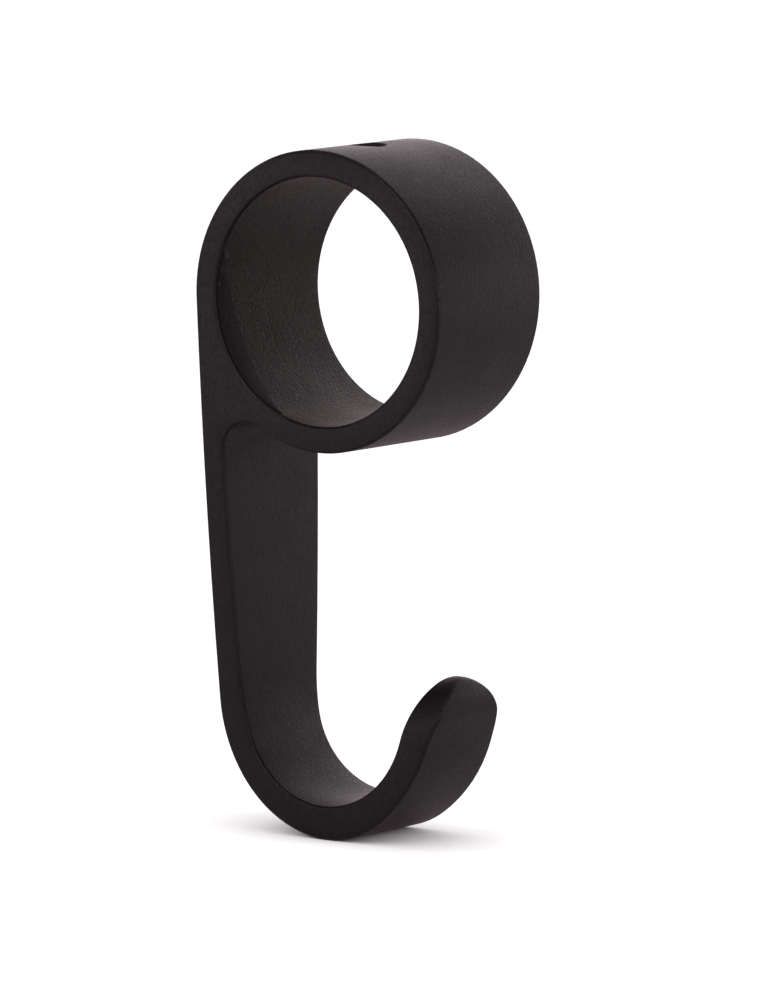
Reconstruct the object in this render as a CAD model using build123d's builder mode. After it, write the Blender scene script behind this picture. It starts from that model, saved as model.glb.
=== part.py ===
from build123d import *
import os
from math import cos, radians, sin

# Wooden coat hook for a round rail, made in one piece: a wide ring, a thin spine under its left
# side and a J that rises to a rounded tip.
# The origin is the centre of the ring's bore, at mid depth. X points from the spine to the tip,
# Y runs along the rail and Z is up. Sizes are in millimetres and angles in degrees.

# Ring
bore_radius = 21.0
ring_wall = 4.5
ring_radius = bore_radius + ring_wall

# Outer side of the spine and the J, from the ring round to the tip
outer_lean = 1.6
outer_run = 68.7
heel_radius, heel_turn = 23.0, 78.5
sole_radius, sole_turn = 18.0, 46.2
arm_radius, arm_turn = 28.0, 34.4
outer_flare_radius, outer_flare_turn = 90.0, 3.4
temple_radius, temple_turn = 6.2, 60.0

# Inner side of the spine and the J, from the ring round to the tip
inner_lean = 2.4
inner_start = (-21.0, -10.0)
inner_run = 56.0
blend_radius, blend_turn = 42.0, 10.3
throat_radius, throat_turn = 16.0, 153.7
inner_flare_radius, inner_flare_turn = 75.0, 7.5

# Rounded notch where the spine leaves the ring
notch_radius = 5.0

# The two side faces as seen along X: parallel at the crown, leaning in towards the J
crown_depth = 29.8
face_radius, face_turn = 1094.0, 4.97
foot_radius = 170.0
foot_drop = 10.0

# The arm's sides as seen along X: narrowing a little, then rounded like the end of a tongue
arm_reach = 5.0
arm_side_radius, arm_side_turn = 137.0, 4.5
shoulder_radius, shoulder_turn = 11.2, 70.0

# Soft edges, and the hole for the screw that holds the ring on its rail
soft_edge = 0.5
screw_radius = 1.8
screw_head_radius = 3.5
screw_hole_depth = 8.0
countersink_angle = 90

# How far the cutting sketches reach past the wood
margin = 10.0


with BuildPart() as sides:
    # Both side faces, over the whole hook
    with BuildSketch(Plane.YZ):
        with BuildLine():
            crown = Line((0, ring_radius + margin), (crown_depth / 2, ring_radius + margin))
            cheek = Line(crown @ 1, (crown_depth / 2, ring_radius))
            face = JernArc(cheek @ 1, cheek % 1, face_radius, -face_turn)
            foot = JernArc(face @ 1, face % 1, foot_radius, face_turn)
            shin = PolarLine(foot @ 1, foot_drop, angle=-90)
            Line(shin @ 1, (0, (shin @ 1).Y))
            mirror(about=Plane.YZ)
        make_face()
    extrude(amount=2 * ring_radius, both=True)

    # Room for the arm, whose sides are narrower
    with BuildSketch(Plane.YZ.offset(arm_reach)):
        with Locations((0, (shin @ 1).Y)):
            Rectangle(2 * crown_depth, ring_radius + foot_drop, align=(Align.CENTER, Align.MIN))
    extrude(amount=2 * ring_radius, mode=Mode.SUBTRACT)

    # The arm's sides, closed by its rounded tip
    with BuildSketch(Plane.YZ.offset(arm_reach)):
        with BuildLine():
            ankle = Line(shin @ 1, foot @ 1)
            arm_side = JernArc(ankle @ 1, (0, 1), arm_side_radius, arm_side_turn)
            shoulder = JernArc(arm_side @ 1, arm_side % 1, shoulder_radius, shoulder_turn)
            crest_turn = 90 - arm_side_turn - shoulder_turn
            crest_radius = (shoulder @ 1).X / sin(radians(crest_turn))
            JernArc(shoulder @ 1, shoulder % 1, crest_radius, crest_turn)
            Line(shin @ 1, (0, (shin @ 1).Y))
            mirror(about=Plane.YZ)
        make_face()
    extrude(amount=2 * ring_radius)

with BuildPart() as hook:
    # The outline, across the rail
    with BuildSketch(Plane.XZ) as outline:
        with BuildLine():
            lean = radians(outer_lean)
            start = (-ring_radius * cos(lean), -ring_radius * sin(lean))
            spine_back = PolarLine(start, outer_run, angle=outer_lean - 90)
            heel = JernArc(spine_back @ 1, spine_back % 1, heel_radius, heel_turn)
            sole = JernArc(heel @ 1, heel % 1, sole_radius, sole_turn)
            arm_back = JernArc(sole @ 1, sole % 1, arm_radius, arm_turn)
            outer_flare = JernArc(arm_back @ 1, arm_back % 1, outer_flare_radius, -outer_flare_turn)
            temple = JernArc(outer_flare @ 1, outer_flare % 1, temple_radius, temple_turn)
            spine_front = PolarLine(inner_start, inner_run, angle=inner_lean - 90)
            blend = JernArc(spine_front @ 1, spine_front % 1, blend_radius, blend_turn)
            throat = JernArc(blend @ 1, blend % 1, throat_radius, throat_turn)
            inner_flare = JernArc(throat @ 1, throat % 1, inner_flare_radius, -inner_flare_turn)
            TangentArc(temple @ 1, inner_flare @ 1, tangent=temple % 1)
            Line(start, inner_start)
        make_face()
        Circle(ring_radius)
        Circle(bore_radius, mode=Mode.SUBTRACT)
        notch = outline.vertices().sort_by_distance(inner_start)[0]
        fillet(notch, notch_radius)
    extrude(amount=crown_depth, both=True)
    add(sides.part, mode=Mode.INTERSECT)

    # Soft edges on every corner that the rail or a coat would touch
    outline_edges = hook.edges().filter_by(Axis.X, reverse=True).filter_by(Axis.Y, reverse=True)
    chamfer(outline_edges, soft_edge)

    # Countersunk screw hole, straight down through the crown into the bore
    with Locations((0, 0, ring_radius)):
        CounterSinkHole(screw_radius, screw_head_radius, screw_hole_depth, countersink_angle)

hook.part.label = "hook"
os.makedirs("parts", exist_ok=True)
export_step(hook.part, "parts/hook.step")
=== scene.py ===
import logging
from dataclasses import dataclass, field
from enum import Enum
from math import cos, hypot, radians, sin

import bmesh
import bpy
from mathutils import Matrix, Vector


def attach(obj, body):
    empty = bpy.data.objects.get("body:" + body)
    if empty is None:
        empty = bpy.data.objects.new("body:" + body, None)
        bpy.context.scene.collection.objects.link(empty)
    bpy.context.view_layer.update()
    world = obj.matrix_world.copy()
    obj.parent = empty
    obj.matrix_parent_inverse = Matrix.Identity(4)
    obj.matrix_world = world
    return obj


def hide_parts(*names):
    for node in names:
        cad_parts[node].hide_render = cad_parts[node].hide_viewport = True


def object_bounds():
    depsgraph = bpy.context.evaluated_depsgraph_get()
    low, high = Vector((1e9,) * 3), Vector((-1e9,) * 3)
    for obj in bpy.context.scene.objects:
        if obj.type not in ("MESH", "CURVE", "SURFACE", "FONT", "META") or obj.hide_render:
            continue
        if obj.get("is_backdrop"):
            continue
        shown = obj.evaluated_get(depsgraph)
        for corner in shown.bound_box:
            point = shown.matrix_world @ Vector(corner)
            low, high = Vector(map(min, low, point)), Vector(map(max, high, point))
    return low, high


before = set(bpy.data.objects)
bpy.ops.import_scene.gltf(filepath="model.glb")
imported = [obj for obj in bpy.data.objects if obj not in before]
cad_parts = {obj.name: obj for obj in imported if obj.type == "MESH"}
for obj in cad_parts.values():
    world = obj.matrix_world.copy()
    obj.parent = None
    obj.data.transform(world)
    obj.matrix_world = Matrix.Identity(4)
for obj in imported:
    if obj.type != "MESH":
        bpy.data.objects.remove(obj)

# Coat hook of black-stained wood for a round rail. One piece: a wide ring, a thin spine and a J.
# Lengths are in metres and angles in degrees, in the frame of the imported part: the origin is the
# centre of the ring's bore, X points from the spine to the tip, Y runs along the rail, Z is up.

log = logging.getLogger("coat_hook")

MM = 0.001

# What a node's input takes: another node's output, or a plain value
Feed = bpy.types.NodeSocket | float | tuple[float, ...] | Vector


@dataclass(frozen=True)
class Colour:
    """A linear colour."""

    red: float
    green: float
    blue: float

    def rgba(self) -> tuple[float, float, float, float]:
        """The colour as a socket takes it."""
        return (self.red, self.green, self.blue, 1.0)


WHITE = Colour(1.0, 1.0, 1.0)


class Surface(Enum):
    """The kinds of the wood's surface, each with a finish of its own, three with painted shade."""

    SANDED = 0
    BORED = 1
    DRILLED = 2
    RIM_SHADE = 3
    SHADED_SOFT_EDGE = 4


def heading(azimuth: float, elevation: float) -> Vector:
    """Works out the direction from the hook towards an angle.

    Args:
        azimuth: 0 is in front of the hook and 90 is on its tip's side.
        elevation: how far above the level.

    Returns:
        The direction, one unit long.
    """
    a, e = radians(azimuth), radians(elevation)
    return Vector((sin(a) * cos(e), -cos(a) * cos(e), sin(e)))


class Nodes:
    """Adds shader nodes to a tree, each with its settings, and links them."""

    def __init__(self, tree: bpy.types.NodeTree) -> None:
        """Keeps the tree.

        Args:
            tree: the material's, the group's or the world's node tree.
        """
        self.tree = tree

    def add(
        self, kind: str, inputs: dict[str | int, Feed] | None = None, **settings: object
    ) -> bpy.types.Node:
        """Adds one node.

        Args:
            kind: the node's type name.
            inputs: values or output sockets, by input name or index.
            settings: the node's own properties.

        Returns:
            The new node.
        """
        node = self.tree.nodes.new(kind)
        for name, value in settings.items():
            setattr(node, name, value)
        for key, value in (inputs or {}).items():
            if isinstance(value, bpy.types.NodeSocket):
                self.tree.links.new(value, node.inputs[key])
            else:
                node.inputs[key].default_value = value
        return node

    def maths(self, operation: str, *values: Feed) -> bpy.types.NodeSocket:
        """Adds a Math node.

        Args:
            operation: the node's operation.
            values: its inputs, in order.

        Returns:
            The result's socket.
        """
        return self.add("ShaderNodeMath", dict(enumerate(values)), operation=operation).outputs[0]

    def ramp(
        self, value: Feed, low: float, high: float, to_low: Feed = 0.0, to_high: Feed = 1.0
    ) -> bpy.types.NodeSocket:
        """Maps a value smoothly from one range to another.

        Args:
            value: the value that is mapped.
            low: the value that gives to_low.
            high: the value that gives to_high.
            to_low: the result at low.
            to_high: the result at high.

        Returns:
            The result's socket.
        """
        inputs = {0: value, 1: low, 2: high, 3: to_low, 4: to_high}
        return self.add("ShaderNodeMapRange", inputs, interpolation_type="SMOOTHSTEP").outputs[0]

    def noise(self, place: Feed, scale: float, detail: float, roughness: float = 0.5) -> bpy.types.NodeSocket:
        """Adds a noise texture.

        Args:
            place: the vector it reads.
            scale: how many of its features fit in a metre.
            detail: how many octaves it has.
            roughness: how strong the finer octaves are.

        Returns:
            The noise's value socket.
        """
        inputs = {"Vector": place, "Scale": scale, "Detail": detail, "Roughness": roughness}
        return self.add("ShaderNodeTexNoise", inputs).outputs[0]

    def mix(self, share: Feed, first: Feed, second: Feed) -> bpy.types.NodeSocket:
        """Mixes two colours.

        Args:
            share: how much of the second shows.
            first: the colour below.
            second: the colour on top.

        Returns:
            The mixed colour's socket.
        """
        return self.add("ShaderNodeMix", {0: share, 6: first, 7: second}, data_type="RGBA").outputs[2]

    def surface(self, inputs: dict[str | int, Feed]) -> None:
        """Adds a material's shader and its output.

        Args:
            inputs: the shader's values or sockets, by input name.
        """
        shader = self.add("ShaderNodeBsdfPrincipled", inputs)
        self.add("ShaderNodeOutputMaterial", {0: shader.outputs[0]})


@dataclass(frozen=True)
class WoodGrain:
    """Fine grain with short open pores, which all the hook's finishes share."""

    name: str = "fine_wood_grain"
    fibre_scale: float = 2800.0
    fibre_detail: float = 3.0
    fibre_roughness: float = 0.6
    pore_scale: float = 1900.0
    pore_detail: float = 1.0
    pore_roughness: float = 0.4
    pore_low: float = 0.57
    pore_high: float = 0.68
    pore_depth: float = 0.6
    mottle_scale: float = 110.0
    mottle_detail: float = 2.0

    def build(self) -> bpy.types.NodeTree:
        """Builds the group.

        Returns:
            A node tree that takes a place and a squeeze for each axis, where less than 1 stretches
            the grain, and gives the fibre's tone, the pores, a mottle and a height.
        """
        tree = bpy.data.node_groups.new(self.name, "ShaderNodeTree")
        for name in ("Place", "Squeeze"):
            tree.interface.new_socket(name, in_out="INPUT", socket_type="NodeSocketVector")
        for name in ("Fibre", "Pores", "Mottle", "Height"):
            tree.interface.new_socket(name, in_out="OUTPUT", socket_type="NodeSocketFloat")
        nodes = Nodes(tree)
        start = nodes.add("NodeGroupInput").outputs
        squeezed = {0: start["Place"], 1: start["Squeeze"]}
        place = nodes.add("ShaderNodeVectorMath", squeezed, operation="MULTIPLY").outputs[0]
        fibre = nodes.noise(place, self.fibre_scale, self.fibre_detail, self.fibre_roughness)
        holes = nodes.noise(place, self.pore_scale, self.pore_detail, self.pore_roughness)
        pores = nodes.ramp(holes, self.pore_low, self.pore_high)
        mottle = nodes.noise(start["Place"], self.mottle_scale, self.mottle_detail)
        height = nodes.maths("SUBTRACT", fibre, nodes.maths("MULTIPLY", pores, self.pore_depth))
        nodes.add("NodeGroupOutput", {"Fibre": fibre, "Pores": pores, "Mottle": mottle, "Height": height})
        return tree


@dataclass(frozen=True)
class Chip:
    """A spot where the stain has chipped: its centre and its reach."""

    centre: tuple[float, float, float]
    reach: float


@dataclass(frozen=True)
class EdgeWear:
    """Small chips in the stain. All the hook's finishes share them, so that a chip can cross an edge."""

    name: str = "edge_wear"
    break_scale: float = 2600.0
    break_detail: float = 2.0
    break_low: float = 0.52
    break_high: float = 0.62
    chips: tuple[Chip, ...] = (
        Chip((-20.9 * MM, -13.7 * MM, 1.8 * MM), 0.9 * MM),
        Chip((-20.7 * MM, -13.1 * MM, 4.2 * MM), 1.1 * MM),
        Chip((-20.2 * MM, -12.8 * MM, 6.6 * MM), 0.9 * MM),
        Chip((14.87 * MM, -6.4 * MM, 20.7 * MM), 0.4 * MM),
        Chip((3.1 * MM, -10.2 * MM, 25.3 * MM), 0.5 * MM),
    )

    def build(self) -> bpy.types.NodeTree:
        """Builds the group.

        Returns:
            A node tree that takes a place and gives the chips' mask.
        """
        tree = bpy.data.node_groups.new(self.name, "ShaderNodeTree")
        tree.interface.new_socket("Place", in_out="INPUT", socket_type="NodeSocketVector")
        tree.interface.new_socket("Chips", in_out="OUTPUT", socket_type="NodeSocketFloat")
        nodes = Nodes(tree)
        place = nodes.add("NodeGroupInput").outputs["Place"]
        near = 0.0
        for chip in self.chips:
            away = nodes.add("ShaderNodeVectorMath", {0: place, 1: chip.centre}, operation="DISTANCE")
            spot = nodes.ramp(away.outputs["Value"], chip.reach / 2, chip.reach, 1.0, 0.0)
            near = nodes.maths("MAXIMUM", near, spot)
        breaks = nodes.noise(place, self.break_scale, self.break_detail)
        broken = nodes.ramp(breaks, self.break_low, self.break_high)
        nodes.add("NodeGroupOutput", {"Chips": nodes.maths("MULTIPLY", near, broken)})
        return tree


@dataclass(frozen=True)
class SandedFall:
    """How the wood falls a little towards both side faces, where sanding took more.

    All the hook's finishes share it. The fall grows with the square of the distance from mid
    depth, to fall_at_side at the side faces, and rim_fall comes on top of it near them.
    """

    name: str = "sanded_fall"
    half_depth: float = 14.9 * MM
    ring_top: float = 25.5 * MM
    face_radius: float = 1094.0 * MM
    fall_at_side: float = 0.20 * MM
    rim_fall: float = 0.05 * MM
    rim_power: float = 4.0

    def build(self) -> bpy.types.NodeTree:
        """Builds the group.

        Returns:
            A node tree that takes a place and gives how far the wood has fallen there, in metres.
        """
        tree = bpy.data.node_groups.new(self.name, "ShaderNodeTree")
        tree.interface.new_socket("Place", in_out="INPUT", socket_type="NodeSocketVector")
        tree.interface.new_socket("Fall", in_out="OUTPUT", socket_type="NodeSocketFloat")
        nodes = Nodes(tree)
        place = nodes.add("NodeGroupInput").outputs["Place"]
        parts = nodes.add("ShaderNodeSeparateXYZ", {0: place}).outputs
        below = nodes.maths("SUBTRACT", self.ring_top, parts["Z"])
        # A side face leans in by the square of the way down, over twice its arc's radius
        lean = nodes.maths("MULTIPLY", nodes.maths("MULTIPLY", below, below), 0.5 / self.face_radius)
        share = nodes.maths("DIVIDE", parts["Y"], nodes.maths("SUBTRACT", self.half_depth, lean))
        square = nodes.maths("MINIMUM", nodes.maths("MULTIPLY", share, share), 1.0)
        rim = nodes.maths("MULTIPLY", nodes.maths("POWER", square, self.rim_power), self.rim_fall)
        nodes.add("NodeGroupOutput", {"Fall": nodes.maths("MULTIPLY_ADD", square, self.fall_at_side, rim)})
        return tree


@dataclass(frozen=True)
class BlackStain:
    """Matte black stain on sanded wood.

    The mottle dims or lifts the fibre's tone. From noise_low to noise_high the tone takes the
    colour from deep to worn, and the roughness from high to low.
    """

    name: str = "black_stained_wood"
    deep: Colour = Colour(0.0056, 0.0046, 0.0048)
    worn: Colour = Colour(0.0138, 0.0112, 0.0116)
    pore: Colour = Colour(0.0036, 0.0030, 0.0030)
    pore_share: float = 0.7
    chip: Colour = Colour(0.0800, 0.0720, 0.0680)
    noise_low: float = 0.3
    noise_high: float = 0.7
    mottle_low: float = 0.9
    mottle_high: float = 1.1
    roughness_low: float = 0.34
    roughness_high: float = 0.48
    specular: float = 0.34
    tint: Colour = Colour(1.0, 0.95, 0.97)
    sheen: float = 0.09
    sheen_roughness: float = 0.35
    sheen_tint: Colour = Colour(1.0, 0.55, 0.66)
    squeeze: tuple[float, float, float] = (1.0, 1.0, 0.50)
    bump: float = 0.025 * MM

    def build(
        self, grain: bpy.types.NodeTree, wear: bpy.types.NodeTree, fall: bpy.types.NodeTree
    ) -> bpy.types.Material:
        """Builds the material.

        Args:
            grain: the shared grain group.
            wear: the shared edge wear group.
            fall: the shared group of the fall towards the sides.

        Returns:
            The finished material.
        """
        material = bpy.data.materials.new(self.name)
        material.use_nodes = True
        material.node_tree.nodes.clear()
        nodes = Nodes(material.node_tree)
        place = nodes.add("ShaderNodeTexCoord").outputs["Object"]
        squeezed = {"Place": place, "Squeeze": self.squeeze}
        wood = nodes.add("ShaderNodeGroup", squeezed, node_tree=grain).outputs
        chips = nodes.add("ShaderNodeGroup", {"Place": place}, node_tree=wear).outputs["Chips"]
        fallen = nodes.add("ShaderNodeGroup", {"Place": place}, node_tree=fall).outputs["Fall"]
        noise = (self.noise_low, self.noise_high)
        mottle = nodes.ramp(wood["Mottle"], *noise, self.mottle_low, self.mottle_high)
        tone = nodes.maths("MULTIPLY", wood["Fibre"], mottle)
        groove = self.groove(nodes, place)
        dark = nodes.maths("MAXIMUM", nodes.maths("MULTIPLY", wood["Pores"], self.pore_share), groove)
        colour = nodes.mix(nodes.ramp(tone, *noise), self.deep.rgba(), self.worn.rgba())
        colour = nodes.mix(dark, colour, self.pore.rgba())
        colour = nodes.mix(chips, colour, self.chip.rgba())
        height = nodes.maths("SUBTRACT", wood["Height"], groove)
        height = nodes.maths("MULTIPLY_ADD", fallen, -1.0 / self.bump, height)
        bump = nodes.add("ShaderNodeBump", {"Strength": 1.0, "Distance": self.bump, "Height": height})
        nodes.surface(
            {
                "Base Color": colour,
                "Roughness": nodes.ramp(tone, *noise, self.roughness_high, self.roughness_low),
                "Normal": bump.outputs[0],
                "Specular IOR Level": self.specular,
                "Specular Tint": self.tint.rgba(),
                "Sheen Weight": self.sheen,
                "Sheen Roughness": self.sheen_roughness,
                "Sheen Tint": self.sheen_tint.rgba(),
            }
        )
        return material

    def groove(self, nodes: Nodes, place: bpy.types.NodeSocket) -> Feed:
        """The mask of this finish's own tool marks. Sanded wood has none."""
        return 0.0


@dataclass(frozen=True)
class BoreStain(BlackStain):
    """The same stain on the bore's wall, coarser and a little brown, with the line of the cutter.

    The line is gone above line_top, and at its full depth from line_fade below that.
    """

    name: str = "bored_wall_wood"
    deep: Colour = Colour(0.0064, 0.0049, 0.0044)
    worn: Colour = Colour(0.0190, 0.0146, 0.0130)
    roughness_low: float = 0.40
    roughness_high: float = 0.56
    specular: float = 0.30
    tint: Colour = Colour(1.0, 0.94, 0.91)
    sheen: float = 0.22
    sheen_tint: Colour = Colour(1.0, 0.72, 0.75)
    squeeze: tuple[float, float, float] = (0.85, 0.85, 0.85)
    bump: float = 0.06 * MM
    line_at: float = -0.8 * MM
    line_reach: float = 0.3 * MM
    line_depth: float = 0.5
    line_top: float = 6.0 * MM
    line_fade: float = 12.0 * MM

    def groove(self, nodes: Nodes, place: bpy.types.NodeSocket) -> Feed:
        """Draws the line that the cutter left about half way through.

        Args:
            nodes: the material's nodes.
            place: the place on the hook.

        Returns:
            The line's mask.
        """
        parts = nodes.add("ShaderNodeSeparateXYZ", {0: place}).outputs
        off = nodes.maths("ABSOLUTE", nodes.maths("SUBTRACT", parts["Y"], self.line_at))
        faded = nodes.ramp(parts["Z"], self.line_top - self.line_fade, self.line_top, self.line_depth, 0.0)
        return nodes.ramp(off, 0.0, self.line_reach, faded, 0.0)


@dataclass(frozen=True)
class RimShadeStain(BoreStain):
    """The crescent inside the bore's near rim, painted darker and duller as shade."""

    name: str = "painted_rim_shade_wood"
    deep: Colour = Colour(0.0044, 0.0040, 0.0042)
    worn: Colour = Colour(0.0090, 0.0080, 0.0084)
    specular: float = 0.22
    tint: Colour = Colour(1.0, 0.98, 1.0)
    bump: float = 0.03 * MM


@dataclass(frozen=True)
class SoftEdgeShadeStain(BlackStain):
    """The narrow soft edges that don't face up, painted darker as shade."""

    name: str = "soft_edge_shade_wood"
    deep: Colour = Colour(0.0044, 0.0038, 0.0040)
    worn: Colour = Colour(0.0108, 0.0090, 0.0094)
    specular: float = 0.30


@dataclass(frozen=True)
class HoleShadeStain(BlackStain):
    """The screw hole's wall, painted darker as shade."""

    name: str = "screw_hole_shade_wood"
    deep: Colour = Colour(0.0040, 0.0034, 0.0034)
    worn: Colour = Colour(0.0090, 0.0070, 0.0068)


@dataclass(frozen=True)
class RimCut:
    """The slanting plane that bounds the crescent of painted shade on the bore's wall.

    The crescent has its full width at turn, which goes from X towards Z, and ends half_turn to
    each side of it, where the plane meets the rim.
    """

    turn: float = 205.0
    half_turn: float = 46.0
    width: float = 5.0 * MM
    rim_y: float = -13.9 * MM

    def plane(self, bore_radius: float) -> tuple[Vector, Vector]:
        """Works out the plane.

        Args:
            bore_radius: the bore's radius.

        Returns:
            A point of the plane, and its normal towards the side of painted shade.
        """
        towards = Vector((cos(radians(self.turn)), 0.0, sin(radians(self.turn))))
        slope = self.width / (bore_radius * (1 - cos(radians(self.half_turn))))
        point = towards * bore_radius + Vector((0.0, self.rim_y + self.width, 0.0))
        return point, (towards * slope - Vector((0.0, 1.0, 0.0))).normalized()


@dataclass
class Hook:
    """The hook: one piece of wood from the ring's crown to the J's soft tip.

    Within hole_reach of the screw hole's axis, the faces less level than level_limit are the
    hole's own, painted darker as shade. A soft edge's face leans by more than flat_limit both
    along X and along Y, and it counts as facing up from upward_limit on; the soft edges that
    don't face up are painted darker as shade.
    """

    node: str = "hook"
    bore_radius: float = 21.0 * MM
    hole_reach: float = 3.6 * MM
    merge_distance: float = 0.001 * MM
    cut_distance: float = 0.0001 * MM
    level_limit: float = 0.9
    flat_limit: float = 0.02
    upward_limit: float = 0.35
    sharp_angle: float = 60.0
    grain: WoodGrain = field(default_factory=WoodGrain)
    wear: EdgeWear = field(default_factory=EdgeWear)
    fall: SandedFall = field(default_factory=SandedFall)
    sanded: BlackStain = field(default_factory=BlackStain)
    bored: BoreStain = field(default_factory=BoreStain)
    hole_shade: HoleShadeStain = field(default_factory=HoleShadeStain)
    rim_shade: RimShadeStain = field(default_factory=RimShadeStain)
    soft_edge_shade: SoftEdgeShadeStain = field(default_factory=SoftEdgeShadeStain)
    rim_cut: RimCut = field(default_factory=RimCut)

    def surface_of(self, face: bmesh.types.BMFace) -> Surface:
        """Tells which kind of surface a face of the wood is.

        Args:
            face: the face.

        Returns:
            Its kind of surface.
        """
        centre, normal = face.calc_center_median(), face.normal
        near_hole = centre.z > 0 and hypot(centre.x, centre.y) < self.hole_reach
        if near_hole and abs(normal.z) < self.level_limit:
            # The hole's wall takes a darker finish: painted shade.
            return Surface.DRILLED
        in_bore = hypot(centre.x, centre.z) < self.bore_radius + self.merge_distance
        if in_bore and abs(normal.y) < self.flat_limit:
            return Surface.BORED
        slanting = abs(normal.x) > self.flat_limit and abs(normal.y) > self.flat_limit
        if slanting and normal.z < self.upward_limit:
            # Soft edges that don't face up take a darker finish: painted shade.
            return Surface.SHADED_SOFT_EDGE
        return Surface.SANDED

    def copy_wood(self) -> bmesh.types.BMesh:
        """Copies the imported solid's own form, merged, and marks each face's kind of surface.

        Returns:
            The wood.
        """
        work = bmesh.new()
        work.from_mesh(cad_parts[self.node].data)
        bmesh.ops.remove_doubles(work, verts=work.verts, dist=self.merge_distance)
        bmesh.ops.recalc_face_normals(work, faces=work.faces)
        for face in work.faces:
            face.smooth = True
            face.material_index = self.surface_of(face).value
        return work

    def paint_rim_shade(self, work: bmesh.types.BMesh) -> None:
        """Parts the bore's wall along the slanting plane, and marks the painted shade towards the near rim.

        Args:
            work: the wood, whose faces know their surface already.
        """
        point, normal = self.rim_cut.plane(self.bore_radius)
        wall = [face for face in work.faces if face.material_index == Surface.BORED.value]
        edges = dict.fromkeys(edge for face in wall for edge in face.edges)
        corners = dict.fromkeys(vert for face in wall for vert in face.verts)
        parted = [*wall, *edges, *corners]
        bmesh.ops.bisect_plane(work, geom=parted, dist=self.cut_distance, plane_co=point, plane_no=normal)
        for face in work.faces:
            beyond = (face.calc_center_median() - point).dot(normal) > 0
            # The faces towards the near rim take the darker, duller finish: painted shade.
            if beyond and face.material_index == Surface.BORED.value:
                face.material_index = Surface.RIM_SHADE.value

    def build(self) -> bpy.types.Object:
        """Builds the visible wood and gives each kind of surface its finish.

        Returns:
            The finished object.
        """
        work = self.copy_wood()
        self.paint_rim_shade(work)
        for kind in Surface:
            count = sum(face.material_index == kind.value for face in work.faces)
            log.info("hook_wood: %d faces are %s", count, kind.name.lower())
        mesh = bpy.data.meshes.new("hook_wood")
        work.to_mesh(mesh)
        work.free()
        piece = bpy.data.objects.new("hook_wood", mesh)
        bpy.context.scene.collection.objects.link(piece)
        mesh.set_sharp_from_angle(angle=radians(self.sharp_angle))
        piece.modifiers.new("even_shading", "WEIGHTED_NORMAL").keep_sharp = True
        effects = (self.grain.build(), self.wear.build(), self.fall.build())
        # In the order of Surface
        for finish in (self.sanded, self.bored, self.hole_shade, self.rim_shade, self.soft_edge_shade):
            mesh.materials.append(finish.build(*effects))
        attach(piece, "root")
        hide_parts(self.node)
        return piece


@dataclass(frozen=True)
class FloorPaper:
    """The floor's plain paper: white to the camera, darker to the hook, with the hook's shadow."""

    name: str = "floor_paper"
    white: Colour = Colour(0.96, 0.96, 0.96)
    bounce: Colour = Colour(0.90, 0.90, 0.90)
    lift: float = 0.85
    shadow_reach: float = 30.0 * MM
    shadow_samples: int = 4
    roughness: float = 0.9

    def build(self) -> bpy.types.Material:
        """Builds the material.

        Returns:
            The finished material.
        """
        material = bpy.data.materials.new(self.name)
        material.use_nodes = True
        material.node_tree.nodes.clear()
        nodes = Nodes(material.node_tree)
        seen = nodes.add("ShaderNodeLightPath").outputs["Is Camera Ray"]
        reach = {"Distance": self.shadow_reach}
        clear = nodes.add("ShaderNodeAmbientOcclusion", reach, samples=self.shadow_samples).outputs["AO"]
        nodes.surface(
            {
                "Base Color": nodes.mix(seen, self.bounce.rgba(), self.white.rgba()),
                "Roughness": self.roughness,
                "Specular IOR Level": 0.0,
                "Emission Color": WHITE.rgba(),
                "Emission Strength": nodes.maths("MULTIPLY", seen, nodes.maths("MULTIPLY", clear, self.lift)),
            }
        )
        return material


@dataclass(frozen=True)
class Softbox:
    """A soft patch of light far away, which is narrower the sharper it is."""

    azimuth: float
    elevation: float
    strength: float
    sharpness: float = 6.0


@dataclass(frozen=True)
class NearLamp:
    """A small square lamp near the hook, which lights the ring more than the J."""

    azimuth: float
    height: float
    power: float
    distance: float = 300.0 * MM
    size: float = 150.0 * MM

    def place(self, name: str, colour: Colour) -> None:
        """Hangs the lamp, facing the ring.

        Args:
            name: the lamp's name.
            colour: its light's colour.
        """
        data = bpy.data.lights.new(name, "AREA")
        data.shape = "SQUARE"
        data.size = self.size
        data.energy = self.power
        data.color = (colour.red, colour.green, colour.blue)
        lamp = bpy.data.objects.new(name, data)
        lamp.location = heading(self.azimuth, 0.0) * self.distance + Vector((0.0, 0.0, self.height))
        lamp.rotation_mode = "QUATERNION"
        lamp.rotation_quaternion = (-lamp.location).to_track_quat("-Z", "Y")
        bpy.context.scene.collection.objects.link(lamp)


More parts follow.
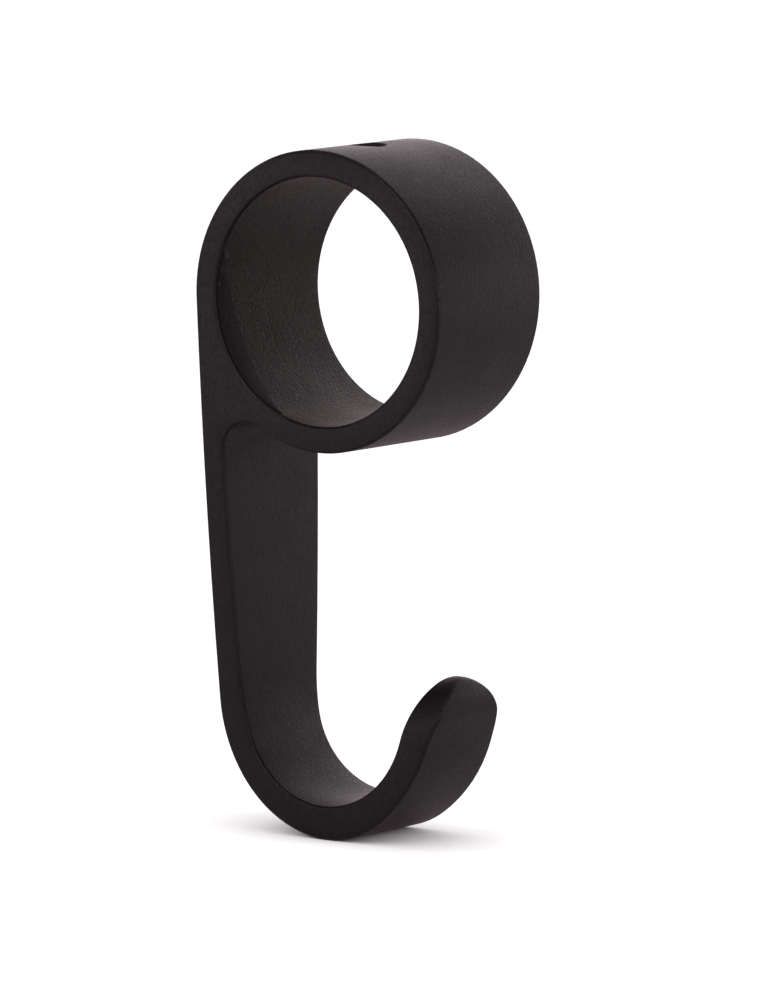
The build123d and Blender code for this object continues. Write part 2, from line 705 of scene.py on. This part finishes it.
@dataclass
class Studio:
    """The pale floor, the soft light, the white surroundings and the camera.

    The camera's sensor spans the picture's long side, and the floor reaches floor_reach from its
    middle to its edges.
    """

    floor_z: float
    floor_reach: float = 2.0
    floor: FloorPaper = field(default_factory=FloorPaper)
    azimuth: float = 36.3926
    elevation: float = 7.1474
    distance: float = 1472.87 * MM
    target: tuple[float, float, float] = (3.54 * MM, 0.0, -34.43 * MM)
    focal_pixels: float = 8742.72
    long_side_pixels: float = 1000.0
    sensor: float = 36.0
    nearest: float = 0.05
    farthest: float = 20.0
    light_colour: Colour = Colour(1.0, 0.92, 0.935)
    level: float = 1.02
    softboxes: tuple[Softbox, ...] = (
        Softbox(36.0, 8.0, 1.32),
        Softbox(180.0, 8.0, 0.92),
        Softbox(190.0, 20.0, 0.43, 20.0),
        Softbox(216.0, 8.0, 0.35),
        Softbox(216.0, 5.0, 1.05, 30.0),
        Softbox(252.0, 8.0, 0.13),
        Softbox(288.0, 8.0, 0.09),
        Softbox(0.0, 90.0, 0.49),
    )
    near_lamps: tuple[NearLamp, ...] = (
        NearLamp(0.0, 150.0 * MM, 0.131),
        NearLamp(100.0, 0.0, 0.145),
        NearLamp(150.0, 0.0, 0.030),
        NearLamp(300.0, 60.0 * MM, 0.034),
        NearLamp(324.0, 0.0, 0.055),
        NearLamp(345.0, 100.0 * MM, 0.020),
    )

    def place_camera(self) -> None:
        """Puts the camera at the photograph's viewing angle."""
        data = bpy.data.cameras.new("camera")
        data.sensor_width = self.sensor
        data.lens = self.focal_pixels * self.sensor / self.long_side_pixels
        data.clip_start = self.nearest
        data.clip_end = self.farthest
        camera = bpy.data.objects.new("camera", data)
        back = heading(self.azimuth, self.elevation)
        camera.location = Vector(self.target) + back * self.distance
        camera.rotation_mode = "QUATERNION"
        camera.rotation_quaternion = (-back).to_track_quat("-Z", "Y")
        bpy.context.scene.collection.objects.link(camera)
        bpy.context.scene.camera = camera

    def lay_floor(self) -> None:
        """Lays the floor under the hook's lowest point."""
        mesh = bpy.data.meshes.new("floor")
        work = bmesh.new()
        place = Matrix.Translation((0, 0, self.floor_z))
        bmesh.ops.create_grid(work, x_segments=1, y_segments=1, size=self.floor_reach, matrix=place)
        work.to_mesh(mesh)
        work.free()
        floor = bpy.data.objects.new("floor", mesh)
        bpy.context.scene.collection.objects.link(floor)
        mesh.materials.append(self.floor.build())
        floor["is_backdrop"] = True

    def light(self) -> None:
        """Lights the hook from the soft patches and the near lamps, in surroundings that look white."""
        world = bpy.data.worlds.new("surroundings")
        world.use_nodes = True
        world.node_tree.nodes.clear()
        nodes = Nodes(world.node_tree)
        direction = nodes.add("ShaderNodeTexCoord").outputs["Generated"]
        glow = 0.0
        for box in self.softboxes:
            inputs = {0: direction, 1: heading(box.azimuth, box.elevation)}
            facing = nodes.add("ShaderNodeVectorMath", inputs, operation="DOT_PRODUCT").outputs["Value"]
            patch = nodes.maths("POWER", nodes.maths("MAXIMUM", facing, 0.0), box.sharpness)
            glow = nodes.maths("MULTIPLY_ADD", patch, box.strength * self.level, glow)
        seen = nodes.add("ShaderNodeLightPath").outputs["Is Camera Ray"]
        strength = nodes.add("ShaderNodeMix", {0: seen, 2: glow, 3: 1.0}, data_type="FLOAT").outputs[0]
        colour = nodes.mix(seen, self.light_colour.rgba(), WHITE.rgba())
        background = nodes.add("ShaderNodeBackground", {"Color": colour, "Strength": strength})
        nodes.add("ShaderNodeOutputWorld", {0: background.outputs[0]})
        bpy.context.scene.world = world
        for number, lamp in enumerate(self.near_lamps):
            lamp.place("near_lamp_%d" % number, self.light_colour)
        bpy.context.scene.view_settings.view_transform = "Standard"

    def build(self) -> None:
        """Sets up the whole studio."""
        self.place_camera()
        self.lay_floor()
        self.light()


def main() -> None:
    """Builds the hook and the studio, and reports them."""
    logging.basicConfig(level=logging.INFO, format="%(name)s: %(message)s")
    solid_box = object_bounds()
    piece = Hook().build()
    log.info("%s: %d faces in all", piece.name, len(piece.data.polygons))
    Studio(floor_z=solid_box[0].z).build()
    log.info("studio: floor at %.1f mm", solid_box[0].z / MM)


if __name__ == "__main__":
    main()
